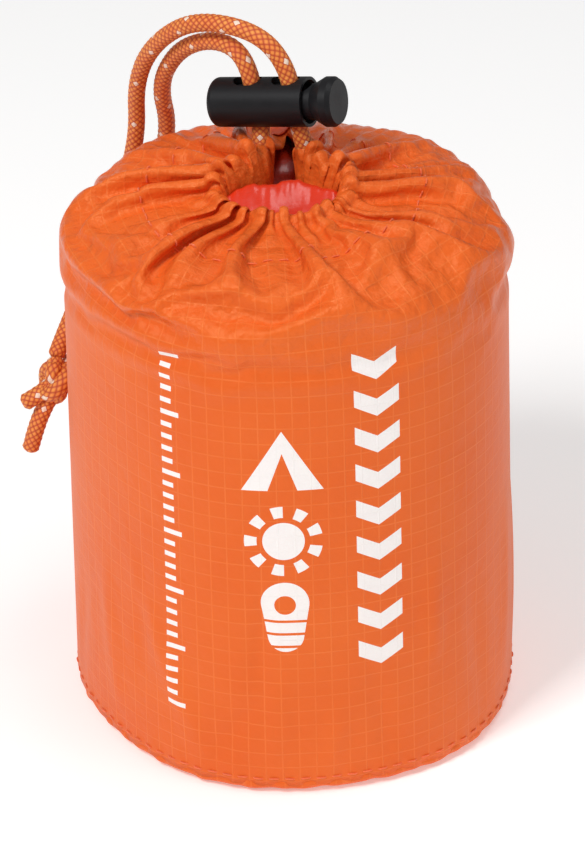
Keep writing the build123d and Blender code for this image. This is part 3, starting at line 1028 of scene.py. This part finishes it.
def braid(lines, name):
    """Braided cord along each line, where each strand passes over and under its neighbours."""
    verts = []
    faces = []
    uvs = []
    for line in lines:
        lengths = line_lengths(line)
        count = int(lengths[-1] / (BRAID_STEP * MM))
        path = along_line(line, lengths, np.linspace(0, lengths[-1], count + 1))
        run = np.gradient(path, axis=0)
        run /= np.linalg.norm(run, axis=1)[:, None]
        side = np.cross(run[0], [0.3, 0.2, 0.93])
        side /= np.linalg.norm(side)
        first = len(verts)
        for k, (p, t) in enumerate(zip(path, run)):
            side = side - t * (side @ t)
            side /= np.linalg.norm(side)
            top = np.cross(t, side)
            pitch = lengths[-1] * k / count / (BRAID_PITCH * MM)
            u = np.arange(BRAID_AROUND + 1) / BRAID_AROUND
            a = u * BRAID_STRANDS + pitch
            b = u * BRAID_STRANDS - pitch
            height = np.abs(np.sin(math.pi * a) * np.sin(math.pi * b)) ** 0.45
            over = (np.floor(a) + np.floor(b)) % 2
            r = CORD_DIAMETER / 2 - BRAID_RELIEF * (1 - height) - 0.03 * over
            from_end = min(k, count - k) * BRAID_STEP
            r = r * math.sqrt(min(1.0, 0.35 + from_end / 0.9)) * MM
            ring = p + r[:, None] * (np.cos(TURN * u)[:, None] * side + np.sin(TURN * u)[:, None] * top)
            verts += ring.tolist()
            uvs += [(x, pitch) for x in u]
        across = BRAID_AROUND + 1
        for k in range(count):
            for n in range(BRAID_AROUND):
                q = first + k * across + n
                faces.append((q, q + 1, q + across + 1, q + across))
        for ring_start, order in ((first, -1), (first + count * across, 1)):
            faces.append(tuple(ring_start + n for n in range(BRAID_AROUND))[::order])
    return weld(uv_mesh(name, verts, faces, np.array(uvs)), 2e-6)


def frame_about(axis, towards):
    """Three directions at right angles: the axis, one near towards, and the third."""
    a = Vector(axis).normalized()
    b = Vector(towards)
    b = (b - a * b.dot(a)).normalized()
    return a, b, a.cross(b)


KNOT_CENTRE = Vector((-0.0432, 0.0128, 0.0556))
KNOT_AXIS = (2.0, 4.8, 6.8)


def make_knot(material):
    """Both strands end in one small overhand knot, with two short free ends."""
    a, b, c = frame_about(KNOT_AXIS, (-1, -0.4, 0))
    turns = []
    steps = 26
    for k in range(steps + 1):
        t = 0.35 + (TURN - 0.7) * k / steps
        ring = 2.35 + 1.15 * math.cos(3 * t)
        turns.append(KNOT_CENTRE + (a * (ring * math.cos(2 * t) * 1.15) + c * (ring * math.sin(2 * t))
                                    + b * (1.25 * math.sin(3 * t))) * MM)
    ends = [
        [(-0.0425, 0.0124, 0.0560), (-0.0442, 0.0117, 0.0546), (-0.0458, 0.0111, 0.0537),
         (-0.0476, 0.0106, 0.0527), (-0.0493, 0.0102, 0.0519)],
        [(-0.0428, 0.0126, 0.0545), (-0.0446, 0.0117, 0.0520), (-0.0462, 0.0110, 0.0490),
         (-0.0475, 0.0106, 0.0455), (-0.0486, 0.0104, 0.0418)]]
    leads = [
        [(-0.0398, 0.0168, 0.0578), (-0.0408, 0.0150, 0.0572), (-0.0420, 0.0134, 0.0562)],
        [(-0.0431, 0.0140, 0.0594), (-0.0432, 0.0134, 0.0582), (-0.0430, 0.0128, 0.0566)]]
    lines = [read_spline("knot", route) for route in (turns, *ends, *leads)]
    knot = braid(lines, "cord_knot")
    return settle(knot, material, "drawcord", "drawcord_knot")


def make_tails(material, knot):
    """The two strands, out of the lock, over the back of the sack and down to the knot."""
    for name, route, exit_point, pieces in (
            ("cord_tail_left", LEFT_ROUTE, LEFT_EXIT, [knot]),
            ("cord_tail_right", RIGHT_ROUTE, RIGHT_EXIT, [])):
        line = read_spline(name, route)
        tail = braid([line], name)
        paint(tail, material)
        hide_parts(name.replace("cord_tail", "drawcord_tail"))
        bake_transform(tail)


def make_hem_cord(material):
    """The cord inside the hem: up out of the lock's two holes, down, and round the mouth."""
    line = rounded_line(CORD_LINE)
    lengths = line_lengths(line)
    hem = []
    for s in np.linspace(3.0, lengths[-1] - 3.0, 15):
        x, y = along_line(line, lengths, s)
        run = line_run(line, lengths, s)
        hem.append(Vector((x - run[1] * HEM_CORD_INSET, y + run[0] * HEM_CORD_INSET,
                           MOUTH_HEIGHT + MOUTH_SLOPE * y - HEM_CORD_DROP)) * MM)
    left = [LEFT_CORD + UP * 3.6, LEFT_CORD - UP * 2.0, LEFT_CORD - UP * 5.5]
    right = [RIGHT_CORD - UP * 6.0, RIGHT_CORD - UP * 2.0, RIGHT_CORD + UP * 3.6]
    route = [p * MM for p in left] + hem + [p * MM for p in right]
    cord = braid([read_spline("hem_cord", route)], "cord_in_hem")
    return settle(cord, material, "drawcord", "drawcord_loop")


def make_spring(material):
    """The spring behind the button: a fixed coil along the lock, from SPRING_START to SPRING_END."""
    turn = np.linspace(0, TURN * SPRING_TURNS, 140)
    out = np.array(UP)
    across = np.array(ALONG.cross(UP))
    step = np.linspace(SPRING_START + SPRING_WIRE / 2, SPRING_END - SPRING_WIRE / 2, len(turn))
    line = (np.array(LOCK_END) + step[:, None] * np.array(ALONG)
            + SPRING_RADIUS * (np.cos(turn)[:, None] * out + np.sin(turn)[:, None] * across))
    spring = stitch_mesh("button_spring", [line], thread=SPRING_WIRE, sides=10)
    paint(spring, material)
    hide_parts("lock_spring")
    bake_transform(spring)


# ------------------------------ build
add_camera()
add_stage()

braid_material = cord_material()
nylon = ripstop_material()
film = film_material()
thread = thread_material()
tape = tape_material()
plastic = plastic_material()
steel = steel_material()

knot = make_knot(braid_material)
make_tails(braid_material, knot)
make_hem_cord(braid_material)

cloth = Cloth(simulate_gather(SEED))
sack = make_sack_cloth(cloth, nylon)
channel = make_channel_stitches(cloth, thread)
seam = make_side_seam(cloth, tape, thread)
base = make_base(cloth, nylon, tape, thread)

make_film_roll(film)
make_film_fold(film)

for name in ("lock_barrel", "lock_plunger"):
    paint(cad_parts[name], plastic)
make_spring(steel)

bpy.context.scene.view_settings.view_transform = "Standard"
